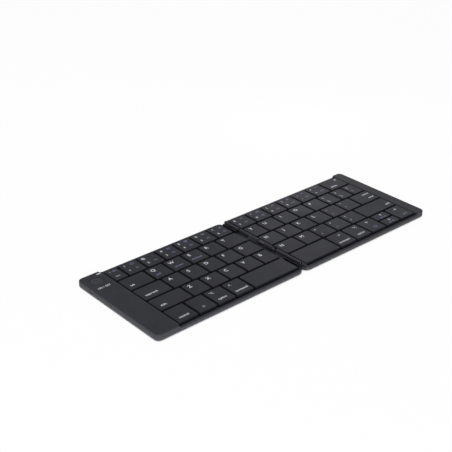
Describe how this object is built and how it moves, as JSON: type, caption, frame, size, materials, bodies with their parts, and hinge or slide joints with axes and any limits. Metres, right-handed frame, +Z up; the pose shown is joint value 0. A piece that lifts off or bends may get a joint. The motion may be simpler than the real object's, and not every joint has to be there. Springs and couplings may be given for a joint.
{
  "type": "folding keyboard",
  "caption": "Slim wireless keyboard that folds in half about a centre hinge, with flat keys in two shallow housings, raised side margins and a round power button.",
  "frame": {"origin": "on the table under the middle of the opened keyboard, straight below the hinge axis", "axes": "+X along the keyboard to the right half, +Y from the front edge with the space keys to the rear edge with the number keys, +Z up"},
  "size_m": [0.282, 0.0974, 0.0071],
  "materials": {
    "case": "fine matt texture",
    "frame": "fine matt texture",
    "keycaps": "soft matt coating",
    "plate": "bare stamped sheet",
    "membrane": "printed film",
    "domes": "silicone",
    "feet": "matt",
    "screws": "black plated",
    "hinge": "dark plated",
    "pins": "ground",
    "cable": "matt jacket",
    "battery": "pouch foil",
    "board": "solder mask",
    "socket": "stamped shell",
    "button": "fine matt texture",
    "switch": "stamped",
    "lens": "diffusing light guide",
    "magnets": "nickel plated"
  },
  "bodies": {
    "left_half": {"left_bottom_case": "case", "left_top_frame": "frame", "left_base_plate": "plate", "left_membrane": "membrane", "left_domes": "domes", "left_feet": "feet", "left_screws": "screws", "hinge_leaf_left": "hinge", "hinge_pins": "pins", "hinge_cable": "cable", "battery": "battery", "main_board": "board", "usb_socket": "socket", "power_switch": "switch", "status_lens": "lens", "light_window": "lens", "magnets_left": "magnets", "left_number_keys": "keycaps", "left_modifier_keys": "keycaps"},
    "right_half": {"right_bottom_case": "case", "right_top_frame": "frame", "right_base_plate": "plate", "right_membrane": "membrane", "right_domes": "domes", "right_feet": "feet", "right_screws": "screws", "hinge_leaf_right": "hinge", "hinge_cable_tail": "cable", "magnets_right": "magnets", "right_number_keys": "keycaps", "right_modifier_keys": "keycaps"},
    "power_button": {"power_button": "button"},
    "key_q": {"key_q": "keycaps"},
    "key_w": {"key_w": "keycaps"},
    "key_e": {"key_e": "keycaps"},
    "key_r": {"key_r": "keycaps"},
    "key_t": {"key_t": "keycaps"},
    "key_a": {"key_a": "keycaps"},
    "key_s": {"key_s": "keycaps"},
    "key_d": {"key_d": "keycaps"},
    "key_f": {"key_f": "keycaps"},
    "key_g": {"key_g": "keycaps"},
    "key_z": {"key_z": "keycaps"},
    "key_x": {"key_x": "keycaps"},
    "key_c": {"key_c": "keycaps"},
    "key_v": {"key_v": "keycaps"},
    "key_b": {"key_b": "keycaps"},
    "key_y": {"key_y": "keycaps"},
    "key_u": {"key_u": "keycaps"},
    "key_i": {"key_i": "keycaps"},
    "key_o": {"key_o": "keycaps"},
    "key_p": {"key_p": "keycaps"},
    "key_h": {"key_h": "keycaps"},
    "key_j": {"key_j": "keycaps"},
    "key_k": {"key_k": "keycaps"},
    "key_l": {"key_l": "keycaps"},
    "key_n": {"key_n": "keycaps"},
    "key_m": {"key_m": "keycaps"},
    "space_left": {"space_left": "keycaps"},
    "space_right": {"space_right": "keycaps"}
  },
  "joints": [
    {"name": "fold", "type": "hinge", "parent": "left_half", "child": "right_half", "pos_m": [0, 0, 0.00565], "axis": [0, -1, 0], "range_deg": [0, 180]},
    {"name": "key_q_press", "type": "slide", "parent": "left_half", "child": "key_q", "axis": [0, 0, 1], "range_m": [-0.0012, 0], "stiffness_N_per_m": 350, "springref_m": 0.0004},
    {"name": "key_w_press", "type": "slide", "parent": "left_half", "child": "key_w", "axis": [0, 0, 1], "range_m": [-0.0012, 0], "stiffness_N_per_m": 350, "springref_m": 0.0004},
    {"name": "key_e_press", "type": "slide", "parent": "left_half", "child": "key_e", "axis": [0, 0, 1], "range_m": [-0.0012, 0], "stiffness_N_per_m": 350, "springref_m": 0.0004},
    {"name": "key_r_press", "type": "slide", "parent": "left_half", "child": "key_r", "axis": [0, 0, 1], "range_m": [-0.0012, 0], "stiffness_N_per_m": 350, "springref_m": 0.0004},
    {"name": "key_t_press", "type": "slide", "parent": "left_half", "child": "key_t", "axis": [0, 0, 1], "range_m": [-0.0012, 0], "stiffness_N_per_m": 350, "springref_m": 0.0004},
    {"name": "key_a_press", "type": "slide", "parent": "left_half", "child": "key_a", "axis": [0, 0, 1], "range_m": [-0.0012, 0], "stiffness_N_per_m": 350, "springref_m": 0.0004},
    {"name": "key_s_press", "type": "slide", "parent": "left_half", "child": "key_s", "axis": [0, 0, 1], "range_m": [-0.0012, 0], "stiffness_N_per_m": 350, "springref_m": 0.0004},
    {"name": "key_d_press", "type": "slide", "parent": "left_half", "child": "key_d", "axis": [0, 0, 1], "range_m": [-0.0012, 0], "stiffness_N_per_m": 350, "springref_m": 0.0004},
    {"name": "key_f_press", "type": "slide", "parent": "left_half", "child": "key_f", "axis": [0, 0, 1], "range_m": [-0.0012, 0], "stiffness_N_per_m": 350, "springref_m": 0.0004},
    {"name": "key_g_press", "type": "slide", "parent": "left_half", "child": "key_g", "axis": [0, 0, 1], "range_m": [-0.0012, 0], "stiffness_N_per_m": 350, "springref_m": 0.0004},
    {"name": "key_z_press", "type": "slide", "parent": "left_half", "child": "key_z", "axis": [0, 0, 1], "range_m": [-0.0012, 0], "stiffness_N_per_m": 350, "springref_m": 0.0004},
    {"name": "key_x_press", "type": "slide", "parent": "left_half", "child": "key_x", "axis": [0, 0, 1], "range_m": [-0.0012, 0], "stiffness_N_per_m": 350, "springref_m": 0.0004},
    {"name": "key_c_press", "type": "slide", "parent": "left_half", "child": "key_c", "axis": [0, 0, 1], "range_m": [-0.0012, 0], "stiffness_N_per_m": 350, "springref_m": 0.0004},
    {"name": "key_v_press", "type": "slide", "parent": "left_half", "child": "key_v", "axis": [0, 0, 1], "range_m": [-0.0012, 0], "stiffness_N_per_m": 350, "springref_m": 0.0004},
    {"name": "key_b_press", "type": "slide", "parent": "left_half", "child": "key_b", "axis": [0, 0, 1], "range_m": [-0.0012, 0], "stiffness_N_per_m": 350, "springref_m": 0.0004},
    {"name": "space_left_press", "type": "slide", "parent": "left_half", "child": "space_left", "axis": [0, 0, 1], "range_m": [-0.0012, 0], "stiffness_N_per_m": 350, "springref_m": 0.0004},
    {"name": "key_y_press", "type": "slide", "parent": "right_half", "child": "key_y", "axis": [0, 0, 1], "range_m": [-0.0012, 0], "stiffness_N_per_m": 350, "springref_m": 0.0004},
    {"name": "key_u_press", "type": "slide", "parent": "right_half", "child": "key_u", "axis": [0, 0, 1], "range_m": [-0.0012, 0], "stiffness_N_per_m": 350, "springref_m": 0.0004},
    {"name": "key_i_press", "type": "slide", "parent": "right_half", "child": "key_i", "axis": [0, 0, 1], "range_m": [-0.0012, 0], "stiffness_N_per_m": 350, "springref_m": 0.0004},
    {"name": "key_o_press", "type": "slide", "parent": "right_half", "child": "key_o", "axis": [0, 0, 1], "range_m": [-0.0012, 0], "stiffness_N_per_m": 350, "springref_m": 0.0004},
    {"name": "key_p_press", "type": "slide", "parent": "right_half", "child": "key_p", "axis": [0, 0, 1], "range_m": [-0.0012, 0], "stiffness_N_per_m": 350, "springref_m": 0.0004},
    {"name": "key_h_press", "type": "slide", "parent": "right_half", "child": "key_h", "axis": [0, 0, 1], "range_m": [-0.0012, 0], "stiffness_N_per_m": 350, "springref_m": 0.0004},
    {"name": "key_j_press", "type": "slide", "parent": "right_half", "child": "key_j", "axis": [0, 0, 1], "range_m": [-0.0012, 0], "stiffness_N_per_m": 350, "springref_m": 0.0004},
    {"name": "key_k_press", "type": "slide", "parent": "right_half", "child": "key_k", "axis": [0, 0, 1], "range_m": [-0.0012, 0], "stiffness_N_per_m": 350, "springref_m": 0.0004},
    {"name": "key_l_press", "type": "slide", "parent": "right_half", "child": "key_l", "axis": [0, 0, 1], "range_m": [-0.0012, 0], "stiffness_N_per_m": 350, "springref_m": 0.0004},
    {"name": "key_n_press", "type": "slide", "parent": "right_half", "child": "key_n", "axis": [0, 0, 1], "range_m": [-0.0012, 0], "stiffness_N_per_m": 350, "springref_m": 0.0004},
    {"name": "key_m_press", "type": "slide", "parent": "right_half", "child": "key_m", "axis": [0, 0, 1], "range_m": [-0.0012, 0], "stiffness_N_per_m": 350, "springref_m": 0.0004},
    {"name": "space_right_press", "type": "slide", "parent": "right_half", "child": "space_right", "axis": [0, 0, 1], "range_m": [-0.0012, 0], "stiffness_N_per_m": 350, "springref_m": 0.0004},
    {"name": "power_button_press", "type": "slide", "parent": "left_half", "child": "power_button", "axis": [0, 0, 1], "range_m": [-0.0004, 0], "stiffness_N_per_m": 1500, "springref_m": 0.0002}
  ]
}
